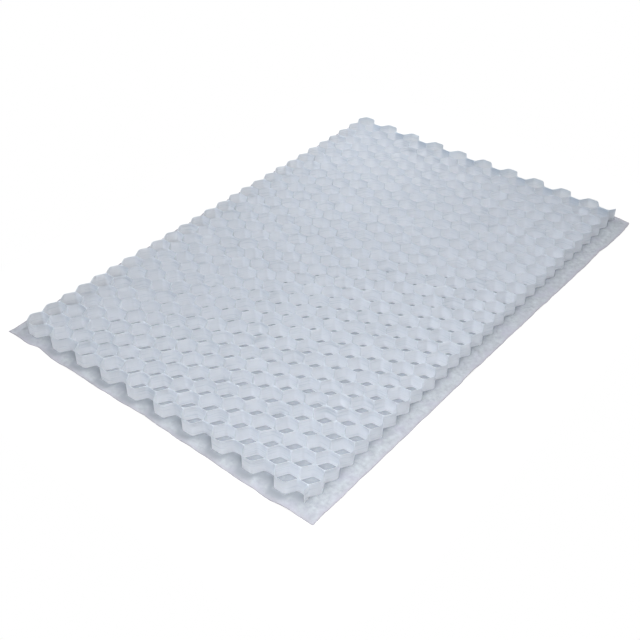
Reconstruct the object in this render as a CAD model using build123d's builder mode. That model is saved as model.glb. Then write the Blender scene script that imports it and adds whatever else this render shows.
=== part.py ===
"""Gravel grid: a panel of hexagonal polypropylene cells welded onto a geotextile membrane.

The panel lies flat as it is laid on the ground, membrane down. Millimetres, +Z up.
X runs across the panel, Y along it, and the origin is under the middle of the membrane.
"""

import os
from math import sqrt

from build123d import *

# Honeycomb: cells are measured between the middles of their walls
cell_pitch = 43.0
wall_thickness = 1.2
grid_height = 32.0
column_count = 20
row_count = 27

# At each right corner the outermost strip of wall runs on past its last cell and ends free
near_free_end = 15.5
near_free_end_angle = -80.0
far_free_end = 20.5
far_free_end_angle = 60.0

# The honeycomb is one piece, kept as three bands that meet face to face after these rows
near_band_rows = 9
middle_band_rows = 8

# Membrane: its border outside the honeycomb differs from side to side
membrane_thickness = 1.0
border_left = 25.0
border_right = 33.0
border_near = 22.0
border_far = 8.0

# Sizes that follow
cell_side = cell_pitch / sqrt(3)
column_step = 1.5 * cell_side
grid_width = column_count * column_step + 0.5 * cell_side
grid_length = row_count * cell_pitch
membrane_width = border_left + grid_width + border_right
membrane_length = border_near + grid_length + border_far

# Lines that the panel is laid out from
near_edge_y = -membrane_length / 2
far_edge_y = membrane_length / 2
near_flats_y = near_edge_y + border_near
far_flats_y = far_edge_y - border_far
left_tips_x = border_left - membrane_width / 2
last_corners_x = left_tips_x + grid_width - cell_side / 2

# A band ends a quarter cell past a row, where it crosses only slanting walls, at their middles
near_cut_y = near_flats_y + (near_band_rows + 0.25) * cell_pitch
far_cut_y = near_cut_y + (middle_band_rows + 0.5) * cell_pitch


def cell_centres(start_y, end_y):
    """Centres of the cells that reach between two lines across the panel.

    Every second column stands half a cell further along and is one cell shorter.
    """
    centres = []
    for column in range(column_count):
        stagger = column % 2
        centre_x = left_tips_x + cell_side + column * column_step
        for row in range(row_count - stagger):
            centre_y = near_flats_y + (row + 0.5 + 0.5 * stagger) * cell_pitch
            if start_y - cell_pitch < centre_y < end_y + cell_pitch:
                centres.append((centre_x, centre_y))
    return centres


def honeycomb_band(start_y, end_y):
    """Walls of the honeycomb between two lines across the panel, as a sketch on the membrane."""
    centres = cell_centres(start_y, end_y)
    along_wall = (Align.MIN, Align.CENTER)
    with BuildSketch(Plane.XY.offset(membrane_thickness)) as walls:
        with Locations(*centres):
            RegularPolygon((cell_pitch + wall_thickness) / 2, 6, major_radius=False)
        with Locations((last_corners_x, near_flats_y + cell_pitch / 2)):
            Rectangle(near_free_end, wall_thickness, rotation=near_free_end_angle, align=along_wall)
        with Locations((last_corners_x, far_flats_y - cell_pitch / 2)):
            Rectangle(far_free_end, wall_thickness, rotation=far_free_end_angle, align=along_wall)
        with Locations(*centres):
            RegularPolygon((cell_pitch - wall_thickness) / 2, 6, major_radius=False, mode=Mode.SUBTRACT)
        with Locations((0, (start_y + end_y) / 2)):
            Rectangle(membrane_width, end_y - start_y, mode=Mode.INTERSECT)
    return walls.sketch


with BuildPart() as grid_near:
    add(honeycomb_band(near_edge_y, near_cut_y))
    extrude(amount=grid_height)
grid_near.part.label = "grid_near"

with BuildPart() as grid_middle:
    add(honeycomb_band(near_cut_y, far_cut_y))
    extrude(amount=grid_height)
grid_middle.part.label = "grid_middle"

with BuildPart() as grid_far:
    add(honeycomb_band(far_cut_y, far_edge_y))
    extrude(amount=grid_height)
grid_far.part.label = "grid_far"

with BuildPart() as geotextile_membrane:
    with BuildSketch():
        Rectangle(membrane_width, membrane_length)
    extrude(amount=membrane_thickness)
geotextile_membrane.part.label = "geotextile_membrane"

os.makedirs("parts", exist_ok=True)
export_step(grid_near.part, "parts/grid_near.step")
export_step(grid_middle.part, "parts/grid_middle.step")
export_step(grid_far.part, "parts/grid_far.step")
export_step(geotextile_membrane.part, "parts/geotextile_membrane.step")
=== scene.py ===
"""Gravel grid: a honeycomb of moulded polypropylene strips bonded to a fleece membrane, in a plain studio.

The honeycomb is built the way it is made: bent strips that run across the panel, bonded to each other flat
against flat. The membrane is a thin fleece under it that lies rumpled where it sticks out past the walls.
"""

import math

import bpy
import numpy as np
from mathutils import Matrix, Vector


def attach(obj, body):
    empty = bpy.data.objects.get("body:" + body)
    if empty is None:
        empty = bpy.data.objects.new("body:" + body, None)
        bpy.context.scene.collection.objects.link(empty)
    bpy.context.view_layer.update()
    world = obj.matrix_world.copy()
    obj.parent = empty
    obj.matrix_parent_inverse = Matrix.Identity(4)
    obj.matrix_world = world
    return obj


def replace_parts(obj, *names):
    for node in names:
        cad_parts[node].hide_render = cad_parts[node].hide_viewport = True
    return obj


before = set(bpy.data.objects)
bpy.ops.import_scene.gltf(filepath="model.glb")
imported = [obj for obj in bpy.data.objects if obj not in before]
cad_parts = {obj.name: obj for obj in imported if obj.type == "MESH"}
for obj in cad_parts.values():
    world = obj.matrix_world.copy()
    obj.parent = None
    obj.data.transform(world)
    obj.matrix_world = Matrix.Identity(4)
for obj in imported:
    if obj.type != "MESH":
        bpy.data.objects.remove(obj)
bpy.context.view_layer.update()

MM = 0.001

# Honeycomb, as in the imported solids
CELL_PITCH = 43 * MM
CELL_SIDE = CELL_PITCH / math.sqrt(3)
COLUMN_STEP = 1.5 * CELL_SIDE
COLUMNS = 20
ROWS = 27
GRID_WIDTH = COLUMNS * COLUMN_STEP + 0.5 * CELL_SIDE
FOOT = 1.0 * MM
RIM = 33.0 * MM
NEAR_FREE_END = 15.5 * MM
NEAR_FREE_ANGLE = -80
FAR_FREE_END = 20.5 * MM
FAR_FREE_ANGLE = -60

# Strips: two of them make a flat wall, one makes a slanting wall
STRIP_THICKNESS = 0.55 * MM
BOND_GAP = 0.1 * MM
BEND_RADIUS = 9.5 * MM
BEND_STEPS = 4
RIM_CHAMFER = 0.12 * MM
DRAWN_LENGTH = 50 * MM
DRAWN_WIDTH = 2.4 * MM

# Membrane
BORDER_LEFT = 25 * MM
BORDER_RIGHT = 33 * MM
BORDER_NEAR = 22 * MM
BORDER_FAR = 8 * MM
FLEECE_THICKNESS = 1.0 * MM
EDGE_STEP = 3 * MM
EDGE_DEPTH = 60 * MM
SWELL_HEIGHT = 1.5 * MM
SWELL_REACH = 5 * MM
EDGE_LIFT = 2.2 * MM
EDGE_LIFT_REACH = 22 * MM
# Width of the band of painted shade beside the walls
SHADE_BAND = 8 * MM
EDGE_TINT_REACH = 5 * MM

# How far its cut edge wanders outwards, at places along the near side and up the right side
NEAR_EDGE = np.array([(-25, 40, 56, 66, 85, 110, 393, 697, 788), (0, -1, -4, -6, -4, 0, -3, 3, -2)]) * MM
RIGHT_EDGE = np.array([(-20, 580, 783, 935, 1015, 1056, 1129, 1168), (-2, -2, 0, 2, 1, 5, 5, 1)]) * MM
MEMBRANE_WIDTH = BORDER_LEFT + GRID_WIDTH + BORDER_RIGHT
MEMBRANE_LENGTH = BORDER_NEAR + ROWS * CELL_PITCH + BORDER_FAR

# Lines that the panel is laid out from
LEFT_TIPS = BORDER_LEFT - MEMBRANE_WIDTH / 2
RIGHT_TIPS = LEFT_TIPS + GRID_WIDTH
NEAR_FLATS = BORDER_NEAR - MEMBRANE_LENGTH / 2
FAR_FLATS = NEAR_FLATS + ROWS * CELL_PITCH

# Photograph: the camera that lines the lattice up with the picture, aimed at a point on the membrane
VIEW_AZIMUTH = 39.07
VIEW_ELEVATION = 38.5
VIEW_DISTANCE = 2.094
VIEW_AIM = (0.0686, -0.1602, 0.001)
VIEW_LENS = 56.12


def linear(code):
    """Linear RGBA of an sRGB hex colour."""
    channels = [int(code[i : i + 2], 16) / 255 for i in (0, 2, 4)]
    return [c / 12.92 if c <= 0.04045 else ((c + 0.055) / 1.055) ** 2.4 for c in channels] + [1.0]


def node(tree, kind, inputs=None, **settings):
    """Adds a node with its settings; an input is a value or the output socket that it is linked from."""
    made = tree.nodes.new(kind)
    for name, value in settings.items():
        setattr(made, name, value)
    for name, value in (inputs or {}).items():
        if isinstance(value, bpy.types.NodeSocket):
            tree.links.new(value, made.inputs[name])
        else:
            made.inputs[name].default_value = value
    return made


def new_material(name):
    """An empty material and its node tree."""
    material = bpy.data.materials.new(name)
    material.use_nodes = True
    material.node_tree.nodes.clear()
    return material, material.node_tree


def new_piece(name, points, faces, material):
    """A smooth-shaded mesh object at the origin, sharp where faces meet at more than 40 degrees."""
    mesh = bpy.data.meshes.new(name)
    mesh.from_pydata(points, [], faces)
    mesh.shade_smooth()
    mesh.set_sharp_from_angle(angle=math.radians(40))
    mesh.materials.append(material)
    piece = bpy.data.objects.new(name, mesh)
    bpy.context.scene.collection.objects.link(piece)
    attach(piece, "root")
    return piece


def moulded_polypropylene():
    """Natural polypropylene strip: milky and satin. Light that enters a wall glows out of both of its sides.

    Extrusion leaves thin grey lines along the strip. Painted shade greys the walls towards their rims, as
    their shade attribute says, and greys the upward-facing rims still more.
    """
    material, tree = new_material("moulded_polypropylene")
    place = node(tree, "ShaderNodeTexCoord").outputs["Object"]
    per_metre = (1 / DRAWN_LENGTH, 1 / DRAWN_LENGTH, 1 / DRAWN_WIDTH)
    drawn = node(tree, "ShaderNodeVectorMath", {0: place, 1: per_metre}, operation="MULTIPLY")
    lines = node(tree, "ShaderNodeTexNoise", {"Vector": drawn.outputs[0], "Scale": 1.0, "Detail": 2.0})
    streak = node(tree, "ShaderNodeMapRange", {0: lines.outputs["Fac"], 1: 0.33, 2: 0.43})
    wall = node(
        tree,
        "ShaderNodeMix",
        {"Factor": streak.outputs[0], "A": linear("EEF1F4"), "B": linear("FCFDFF")},
        data_type="RGBA",
    )
    # Painted shade: the walls grey towards their rims, more on the outer and far walls, by the attribute read
    # here
    painted_wall_shade = node(tree, "ShaderNodeAttribute", attribute_name="painted_wall_shade").outputs["Fac"]
    wall = node(
        tree,
        "ShaderNodeMix",
        {"Factor": painted_wall_shade, "A": wall.outputs["Result"], "B": linear("E1E8EF")},
        data_type="RGBA",
    )
    # Painted shade: faces turned upwards, the rims, are greyed so they show no brighter than the walls
    facing = node(tree, "ShaderNodeSeparateXYZ", {0: node(tree, "ShaderNodeNewGeometry").outputs["Normal"]})
    painted_rim_shade = node(tree, "ShaderNodeMath", {0: facing.outputs["Z"], 1: 0.6}, operation="GREATER_THAN")
    tone = node(
        tree,
        "ShaderNodeMix",
        {"Factor": painted_rim_shade.outputs[0], "A": wall.outputs["Result"], "B": linear("E5E9EE")},
        data_type="RGBA",
    )
    relief = node(
        tree, "ShaderNodeBump", {"Height": lines.outputs["Fac"], "Strength": 0.8, "Distance": 0.15 * MM}
    ).outputs["Normal"]
    satin = node(
        tree,
        "ShaderNodeBsdfPrincipled",
        {"Base Color": tone.outputs["Result"], "Roughness": 0.5, "IOR": 1.49, "Normal": relief},
    )
    glow = node(tree, "ShaderNodeBsdfTranslucent", {"Color": tone.outputs["Result"]})
    milky = node(
        tree, "ShaderNodeMixShader", {"Fac": 0.75, 1: satin.outputs["BSDF"], 2: glow.outputs["BSDF"]}
    )
    node(tree, "ShaderNodeOutputMaterial", {"Surface": milky.outputs["Shader"]})
    return material


def nonwoven_fleece():
    """Needled polypropylene fleece: matt, grey and cloudy, with violet patches.

    Painted shade darkens it where its shade attribute says, in the cells and beside the walls, and it is
    tinted violet grey where the cut attribute says.
    """
    material, tree = new_material("nonwoven_fleece")
    place = node(tree, "ShaderNodeTexCoord").outputs["Object"]
    cloud = node(
        tree, "ShaderNodeTexNoise", {"Vector": place, "Scale": 1 / (9 * MM), "Detail": 4.0, "Roughness": 0.6}
    )
    patch = node(
        tree, "ShaderNodeTexNoise", {"Vector": place, "Scale": 1 / (38 * MM), "Detail": 3.0, "Roughness": 0.6}
    )
    fibres = node(
        tree,
        "ShaderNodeTexNoise",
        {"Vector": place, "Scale": 1 / (2.5 * MM), "Detail": 3.0, "Roughness": 0.6},
    )
    thick = node(tree, "ShaderNodeMapRange", {0: cloud.outputs["Fac"], 1: 0.3, 2: 0.7})
    felt = node(
        tree,
        "ShaderNodeMix",
        {"Factor": thick.outputs[0], "A": linear("92979D"), "B": linear("ADB3B9")},
        data_type="RGBA",
    )
    tinged = node(tree, "ShaderNodeMapRange", {0: patch.outputs["Fac"], 1: 0.45, 2: 0.75, 4: 0.8})
    felt = node(
        tree,
        "ShaderNodeMix",
        {"Factor": tinged.outputs[0], "A": felt.outputs["Result"], "B": linear("9F9FAD")},
        data_type="RGBA",
    )
    # Painted shade: darker in the cells and in a band beside the walls, by the attribute read here
    painted_fleece_shade = node(tree, "ShaderNodeAttribute", attribute_name="painted_fleece_shade").outputs["Fac"]
    fleece_shaded = node(
        tree,
        "ShaderNodeMix",
        {"Factor": painted_fleece_shade, "A": felt.outputs["Result"], "B": linear("898F96")},
        data_type="RGBA",
    )
    # Tinted violet grey towards the cut edge
    cut = node(tree, "ShaderNodeAttribute", attribute_name="cut").outputs["Fac"]
    tone = node(
        tree,
        "ShaderNodeMix",
        {"Factor": cut, "A": fleece_shaded.outputs["Result"], "B": linear("A2A1AB")},
        data_type="RGBA",
    )
    nap = node(
        tree, "ShaderNodeBump", {"Height": fibres.outputs["Fac"], "Strength": 0.5, "Distance": 0.6 * MM}
    )
    surface = node(
        tree,
        "ShaderNodeBsdfPrincipled",
        {"Base Color": tone.outputs["Result"], "Roughness": 0.95, "Normal": nap.outputs["Normal"]},
    )
    node(tree, "ShaderNodeOutputMaterial", {"Surface": surface.outputs["BSDF"]})
    return material


def sway(points, seed):
    """Random sway of the walls, most at the rim: ten plane waves 55 to 160 mm long, each with its own push."""
    rng = np.random.default_rng(seed)
    waves = 10
    heading = rng.uniform(0, 2 * np.pi, waves)
    push = rng.uniform(0, 2 * np.pi, waves)
    per_metre = 2 * np.pi / rng.uniform(55 * MM, 160 * MM, waves)
    phase = rng.uniform(0, 2 * np.pi, waves)
    angle = points[:, :2] @ (per_metre * np.stack([np.cos(heading), np.sin(heading)])) + phase
    shift = np.sin(angle) @ np.stack([np.cos(push), np.sin(push)], 1)
    height = (points[:, 2:] - FOOT) / (RIM - FOOT)
    moved = points.copy()
    moved[:, :2] += shift * (0.15 + 0.25 * height) * MM
    return moved


def strip_plan(rounded_foot):
    """Plan of a strip's upper and lower side, from the left tips to the right ones, and its last flat's end.

    The middle line is a trapezoid wave: flats one cell side long, low in even columns and high in odd ones,
    joined by walls at 60 degrees, with half a bend at either tip. On the inside of a corner the side is a
    parabola between the ends of the bend. On the outside it keeps the corner, which fills the wedge between
    two bonded strips, except at the low flats of the outermost strips, where rounded_foot bends it too.
    """
    column = np.arange(COLUMNS)
    middle = LEFT_TIPS + CELL_SIDE + column * COLUMN_STEP
    low = (STRIP_THICKNESS + BOND_GAP) / 2
    high = CELL_PITCH / 2 - low
    level = np.where(column % 2, high, low)
    flat = np.stack([middle[:, None] + CELL_SIDE * np.array([-0.5, 0.5]), np.repeat(level[:, None], 2, 1)], 2)
    left_tip = (LEFT_TIPS, CELL_PITCH / 2 - BOND_GAP / 2)
    right_tip = (RIGHT_TIPS, BOND_GAP / 2)
    corner = np.concatenate([[left_tip], flat.reshape(-1, 2), [right_tip]])
    along = np.diff(corner, axis=0)
    along /= np.linalg.norm(along, axis=1)[:, None]
    along = np.concatenate([along[:1] * (-1, 1), along, along[-1:] * (-1, 1)])
    up = np.stack([-along[:, 1], along[:, 0]], 1)

    t = np.linspace(0, 1, BEND_STEPS + 1)[None, :, None]
    reach = BEND_RADIUS * math.tan(math.radians(30))
    before, after = along[:-1, None], along[1:, None]
    bend = reach * (t**2 * after - (1 - t) ** 2 * before)
    kept = reach * (np.clip(2 * t - 1, 0, 1) * after - np.clip(1 - 2 * t, 0, 1) * before)
    mitre = up[:-1] + up[1:]
    mitre /= (mitre * up[1:]).sum(1)[:, None]
    is_high = np.repeat(column % 2, 2) == 1
    bonded_above = np.pad(is_high, 1)[:, None, None]
    bonded_below = np.pad(~is_high & (not rounded_foot), 1)[:, None, None]
    half = BEND_STEPS // 2
    sides = []
    for sign, bonded in ((1, bonded_above), (-1, bonded_below)):
        turn = corner[:, None] + sign * STRIP_THICKNESS / 2 * mitre[:, None] + np.where(bonded, kept, bend)
        sides.append(turn.reshape(-1, 2)[half:-half])
    return np.stack(sides), corner[-2]


def beyond_walls(x, y):
    """How far a point lies outside the toothed edge of the honeycomb, measured straight out from a side.

    Across the panel the edge is the strips' trapezoid wave, along it the zigzag of the tips.
    """
    across = ((x - LEFT_TIPS - CELL_SIDE) / COLUMN_STEP) % 2
    wave = CELL_PITCH / 2 * np.clip((1 - np.abs(across - 1)) * 3 - 1, 0, 1)
    along = ((y - NEAR_FLATS) / CELL_PITCH) % 1
    zigzag = CELL_SIDE * np.abs(along - 0.5)
    near = NEAR_FLATS + wave - y
    far = y - FAR_FLATS + wave
    left = LEFT_TIPS + zigzag - x
    right = x - RIGHT_TIPS + CELL_SIDE / 2 - zigzag
    return np.max([near, far, left, right], axis=0)


def smooth(a):
    """Soft step from 0 to 1."""
    a = np.clip(a, 0, 1)
    return a * a * (3 - 2 * a)


def honeycomb_strips(name, first, last, material):
    """Strips first to last of the honeycomb as one mesh; each is its plan carried up from foot to rim.

    Strip 2k rises from the flats of the even columns on line k, and strip 2k - 1 is its mirror image on the
    same line. A strip's section is a ring of ten points, with the rim's edges broken. The first and the last
    strip each end free at the right. The painted shade attribute grows with the square of the height. It is
    stronger on the outermost walls, and strongest along the far edge.
    """
    number = np.arange(first, last)
    outermost = (number == 0) | (number == 2 * ROWS - 1)
    inner_plan, _ = strip_plan(rounded_foot=False)
    outer_plan, last_corner = strip_plan(rounded_foot=True)
    plan = np.where(outermost[:, None, None, None], outer_plan, inner_plan)
    ends = ((0, NEAR_FREE_END, NEAR_FREE_ANGLE), (2 * ROWS - 1, FAR_FREE_END, FAR_FREE_ANGLE))
    for strip, length, angle in ends:
        c, s = math.cos(math.radians(angle)), math.sin(math.radians(angle))
        across = np.array([[-s, c], [s, -c]]) * STRIP_THICKNESS / 2
        out = length * np.linspace(0.6, 1, BEND_STEPS // 2 + 1)
        plan[number == strip, :, -len(out) :] = last_corner + out[:, None] * (c, s) + across[:, None]
    mirrored = number % 2 == 1
    plan[mirrored] = plan[mirrored][:, ::-1] * (1, -1)
    plan[..., 1] += (NEAR_FLATS + (number + 1) // 2 * CELL_PITCH)[:, None, None]
    upper, lower = plan[:, 0], plan[:, 1]

    through = upper - lower
    chamfer = RIM_CHAMFER * through / np.linalg.norm(through, axis=2)[:, :, None]
    rise = np.linspace(FOOT, RIM - RIM_CHAMFER, 4)
    climb = np.concatenate([rise, [RIM]])
    front = np.stack([lower] * 4 + [lower + chamfer], 2)
    back = np.stack([upper - chamfer] + [upper] * 4, 2)
    plane = np.concatenate([front, back], 2)
    height = np.broadcast_to(np.concatenate([climb, climb[::-1]])[:, None], plane.shape[:3] + (1,))
    points = np.concatenate([plane, height], 3)

    strips, steps, ring = points.shape[:3]
    index = np.arange(strips * steps * ring).reshape(strips, steps, ring)
    turned = np.roll(index, -1, 2)
    sides = np.stack([index[:, :-1], index[:, 1:], turned[:, 1:], turned[:, :-1]], 3).reshape(-1, 4)
    caps = np.concatenate([index[:, 0], index[:, -1, ::-1]])
    points = points.reshape(-1, 3)
    # Painted shade: greyer towards the rim, more on the outermost walls and most along the far edge
    above = ((points[:, 2] - FOOT) / (RIM - FOOT)) ** 2
    outside = smooth(1.5 + beyond_walls(points[:, 0], points[:, 1]) / (4 * MM))
    far_edge = outside * (points[:, 1] > FAR_FLATS - CELL_PITCH)
    painted_wall_shade = above * (0.27 + 0.09 * outside + 0.3 * far_edge) + 0.12 * far_edge
    points = sway(points, seed=7)
    piece = new_piece(name, points.tolist(), sides.tolist() + caps.tolist(), material)
    piece.data.attributes.new("painted_wall_shade", "FLOAT", "POINT").data.foreach_set("value", painted_wall_shade)
    return piece


def ripples(x, y, shortest, longest, count, rng):
    """Sum of plane waves in random directions, scaled to stay near the range -1 to 1."""
    heading = rng.uniform(0, 2 * np.pi, count)
    per_metre = 2 * np.pi / rng.uniform(shortest, longest, count)
    phase = rng.uniform(0, 2 * np.pi, count)
    angle = per_metre * (x[..., None] * np.cos(heading) + y[..., None] * np.sin(heading)) + phase
    return np.sin(angle).sum(-1) / math.sqrt(count)


def wrinkles(x, y, count, rng):
    """Creases in the border: short ridges and valleys, each a bell across its line and a plateau along it."""
    along_x = rng.random(count) < MEMBRANE_WIDTH / (MEMBRANE_WIDTH + MEMBRANE_LENGTH)
    far_side = rng.choice([-1.0, 1.0], count)
    place = rng.uniform(-1, 1, count)
    inset = rng.uniform(4 * MM, 22 * MM, count)
    half_x, half_y = MEMBRANE_WIDTH / 2, MEMBRANE_LENGTH / 2
    centre_x = np.where(along_x, place * half_x, far_side * (half_x - inset))
    centre_y = np.where(along_x, far_side * (half_y - inset), place * half_y)
    heading = np.where(along_x, np.pi / 2, 0) + rng.uniform(-1.1, 1.1, count)
    long = rng.uniform(7 * MM, 20 * MM, count)
    wide = rng.uniform(1.8 * MM, 4.0 * MM, count)
    height = rng.uniform(0.5 * MM, 1.7 * MM, count) * rng.choice([1, 1, -0.7], count)
    off_x, off_y = x[..., None] - centre_x, y[..., None] - centre_y
    along = (off_x * np.cos(heading) + off_y * np.sin(heading)) / long
    across = (off_y * np.cos(heading) - off_x * np.sin(heading)) / wide
    return (height * np.exp(-(across**2) - along**4)).sum(-1)


def membrane_sheet(material):
    """The fleece: rings of points from its cut edge in under the outer cells, and a flat middle.

    A point slides from the uneven outline to a smaller rectangle. It lies flat under the walls, swells up
    beside them, and carries ripples, creases and a wavy lift that grow towards the cut edge. The painted
    shade attribute is one half in the cells. Outside them it rises and falls with the distance from the
    walls, least at either side, and a narrow extra band of painted shade follows the feet at the right.
    The cut attribute fades inwards from the cut edge.
    """
    rng = np.random.default_rng(23)
    half = np.array([MEMBRANE_WIDTH, MEMBRANE_LENGTH]) / 2
    corners = np.array([[-1, -1], [1, -1], [1, 1], [-1, 1]])
    turned_corners = np.roll(corners, -1, 0)
    counts = np.round(2 * half[[0, 1, 0, 1]] / EDGE_STEP).astype(int)
    side = np.repeat(np.arange(4), counts)
    step = np.concatenate([np.arange(n) / n for n in counts])[:, None]
    rim = corners[side] + (turned_corners[side] - corners[side]) * step

    outer = rim * half
    outward = (np.abs(rim) > 0.9999) * np.sign(rim)
    uneven = 0.9 * MM * ripples(outer[:, 0], outer[:, 1], 25 * MM, 120 * MM, 8, rng)
    uneven *= np.where(side == 1, 0.5, 1.0)
    uneven += (side == 0) * np.interp(outer[:, 0] - LEFT_TIPS, *NEAR_EDGE)
    uneven += (side == 1) * np.interp(outer[:, 1] - NEAR_FLATS, *RIGHT_EDGE)
    outer = outer + outward * uneven[:, None]
    inner = rim * (half - EDGE_DEPTH)
    inward = np.concatenate([np.linspace(0, 0.8, 20), [0.88, 0.96, 1.0]])[:, None, None]
    flat = outer + inward * (inner - outer)
    x, y = flat[:, :, 0], flat[:, :, 1]

    beyond = beyond_walls(x, y)
    swell = 1 - np.exp(-np.clip(beyond, 0, None) / SWELL_REACH)
    to_edge = smooth(1 - inward[:, :, 0] * EDGE_DEPTH / EDGE_LIFT_REACH)
    waves = ripples(x, y, 22 * MM, 70 * MM, 12, rng)
    edge_wave = ripples(outer[:, 0], outer[:, 1], 60 * MM, 180 * MM, 6, rng)[None]
    lift = swell * (SWELL_HEIGHT + 0.6 * MM * waves + wrinkles(x, y, 150, rng))
    lift += to_edge * (EDGE_LIFT * np.clip(edge_wave, -0.2, 1.3) - 0.8 * MM)
    height = FLEECE_THICKNESS / 2 + np.clip(lift, 0, None)
    points = np.stack([x, y, height], 2)

    rings, steps = points.shape[:2]
    index = np.arange(rings * steps).reshape(rings, steps)
    turned = np.roll(index, -1, 1)
    bands = np.stack([index[:-1], turned[:-1], turned[1:], index[1:]], 2).reshape(-1, 4)
    faces = bands.tolist() + [index[-1].tolist()]
    piece = new_piece("membrane_fleece", points.reshape(-1, 3).tolist(), faces, material)
    # Painted shade on the fleece: a band beside the walls, weak at far left and right, a narrow extra band at
    # the feet on the right, one half in the cells
    band = np.clip(beyond, 0, None) / SHADE_BAND
    beside = beyond > 0
    stops = (LEFT_TIPS, LEFT_TIPS + 3 * COLUMN_STEP, RIGHT_TIPS - CELL_SIDE, RIGHT_TIPS)
    shade_strength = np.interp(x, stops, (0.2, 1.0, 1.0, 0.1))
    painted_fleece_shade = np.where(beside, shade_strength * band * np.exp(1 - band), 0.5)
    painted_fleece_shade += (x > RIGHT_TIPS - CELL_SIDE) * beside * 0.45 * np.exp(-band * 2)
    cut = np.broadcast_to(np.exp(-inward[:, :, 0] * EDGE_DEPTH / EDGE_TINT_REACH), x.shape)
    for name, amount in (("painted_fleece_shade", painted_fleece_shade), ("cut", cut)):
        piece.data.attributes.new(name, "FLOAT", "POINT").data.foreach_set("value", amount.ravel())
    solid = piece.modifiers.new("thickness", "SOLIDIFY")
    solid.thickness = FLEECE_THICKNESS
    solid.offset = 0
    return piece


polypropylene = moulded_polypropylene()
bands = (("grid_near", 0, 18), ("grid_middle", 18, 36), ("grid_far", 36, 2 * ROWS))
for node_name, first, last in bands:
    strips = honeycomb_strips(node_name.replace("grid", "honeycomb"), first, last, polypropylene)
    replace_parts(strips, node_name)
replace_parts(membrane_sheet(nonwoven_fleece()), "geotextile_membrane")


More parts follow.
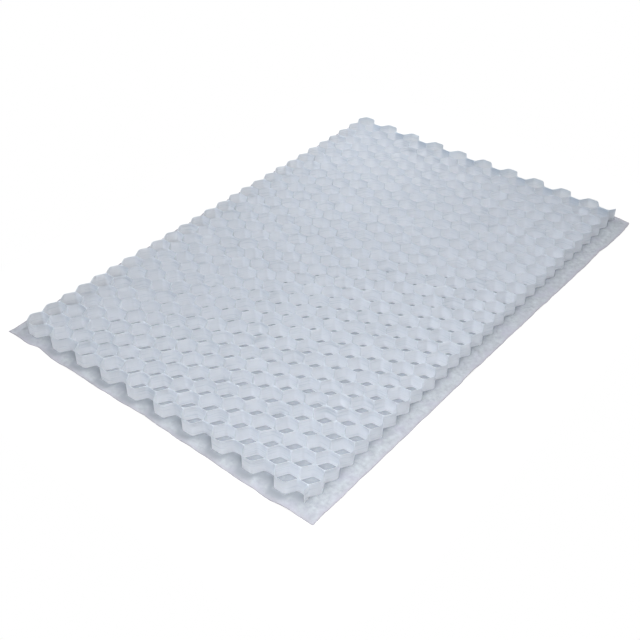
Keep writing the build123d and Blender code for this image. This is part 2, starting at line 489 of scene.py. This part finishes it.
def studio():
    """A pale floor, a soft sky and lamps; the floor is white to the camera and keeps the shadow."""
    scene = bpy.context.scene
    scene.view_settings.view_transform = "Standard"
    half = 12.0
    mesh = bpy.data.meshes.new("studio_floor")
    mesh.from_pydata(
        [(-half, -half, 0), (half, -half, 0), (half, half, 0), (-half, half, 0)], [], [(0, 1, 2, 3)]
    )
    floor = bpy.data.objects.new("studio_floor", mesh)
    scene.collection.objects.link(floor)
    material, tree = new_material("studio_floor_paper")
    rays = node(tree, "ShaderNodeLightPath").outputs
    seen = node(
        tree, "ShaderNodeMath", {0: rays["Is Camera Ray"], 1: rays["Is Glossy Ray"]}, operation="MAXIMUM"
    )
    seen = node(
        tree, "ShaderNodeMath", {0: seen.outputs[0], 1: rays["Is Transmission Ray"]}, operation="MAXIMUM"
    )
    place = node(tree, "ShaderNodeTexCoord").outputs["Object"]
    place = node(tree, "ShaderNodeVectorMath", {0: place}, operation="ABSOLUTE")
    edges = (MEMBRANE_WIDTH / 2, MEMBRANE_LENGTH / 2, 1)
    place = node(tree, "ShaderNodeVectorMath", {0: place.outputs[0], 1: edges}, operation="SUBTRACT")
    place = node(tree, "ShaderNodeVectorMath", {0: place.outputs[0], 1: (0, 0, 0)}, operation="MAXIMUM")
    away = node(tree, "ShaderNodeVectorMath", {0: place.outputs[0]}, operation="LENGTH")
    share = node(tree, "ShaderNodeMapRange", {0: away.outputs["Value"], 2: 0.2, 3: 0.8, 4: 1.0})
    share = node(tree, "ShaderNodeMath", {0: share.outputs[0], 1: seen.outputs[0]}, operation="MULTIPLY")
    tone = node(
        tree,
        "ShaderNodeMix",
        {"Factor": seen.outputs[0], "A": linear("55585C"), "B": linear("FAFAFA")},
        data_type="RGBA",
    )
    paper = node(tree, "ShaderNodeBsdfDiffuse", {"Color": tone.outputs["Result"]})
    glow = node(tree, "ShaderNodeEmission", {"Color": (1, 1, 1, 1), "Strength": 1.0})
    mixed = node(
        tree,
        "ShaderNodeMixShader",
        {0: share.outputs[0], 1: paper.outputs["BSDF"], 2: glow.outputs["Emission"]},
    )
    node(tree, "ShaderNodeOutputMaterial", {"Surface": mixed.outputs["Shader"]})
    floor.data.materials.append(material)

    world = bpy.data.worlds.new("studio_world")
    scene.world = world
    world.use_nodes = True
    tree = world.node_tree
    tree.nodes.clear()
    rays = node(tree, "ShaderNodeLightPath").outputs
    level = node(
        tree,
        "ShaderNodeMix",
        {"Factor": rays["Is Camera Ray"], "A": 0.02, "B": 1.0},
    )
    sky = node(tree, "ShaderNodeBackground", {"Color": (1, 1, 1, 1), "Strength": level.outputs["Result"]})
    node(tree, "ShaderNodeOutputWorld", {"Surface": sky.outputs["Background"]})


def lamp(name, place, aim, size, power):
    """A square softbox at a place, turned to face a point."""
    light = bpy.data.lights.new(name, "AREA")
    light.shape = "SQUARE"
    light.size = size
    light.energy = power
    holder = bpy.data.objects.new(name, light)
    holder.location = place
    holder.rotation_mode = "QUATERNION"
    holder.rotation_quaternion = (Vector(aim) - Vector(place)).to_track_quat("-Z", "Y")
    holder.visible_camera = False
    bpy.context.scene.collection.objects.link(holder)


def camera():
    """The photograph's camera, stood off from its aim by azimuth, elevation and distance."""
    turn, rise = math.radians(VIEW_AZIMUTH), math.radians(VIEW_ELEVATION)
    back = Vector((math.sin(turn) * math.cos(rise), -math.cos(turn) * math.cos(rise), math.sin(rise)))
    data = bpy.data.cameras.new("photo_camera")
    data.lens = VIEW_LENS
    data.sensor_width = 36.0
    data.clip_end = 100.0
    holder = bpy.data.objects.new("photo_camera", data)
    holder.location = Vector(VIEW_AIM) + back * VIEW_DISTANCE
    holder.rotation_mode = "QUATERNION"
    holder.rotation_quaternion = (-back).to_track_quat("-Z", "Y")
    bpy.context.scene.collection.objects.link(holder)
    bpy.context.scene.camera = holder


studio()
lamp("far_softbox", (0.72, 1.2, 2.42), (0, 0, 0), 1.0, 31.0)
lamp("left_softbox", (-1.35, 0.36, 2.42), (0, 0, 0), 1.4, 14.0)
lamp("near_softbox", (-0.15, -1.3, 2.0), (-0.1, -0.1, 0), 1.4, 31.5)
lamp("right_softbox", (1.3, -0.55, 2.42), (0, 0, 0), 1.4, 20.5)
lamp("near_corner_softbox", (0.75, -0.95, 0.9), (0.3, -0.45, 0), 0.6, 8.6)
lamp("far_corner_softbox", (-0.42, 0.66, 0.42), (-0.36, 0.5, 0), 0.3, 1.2)
camera()
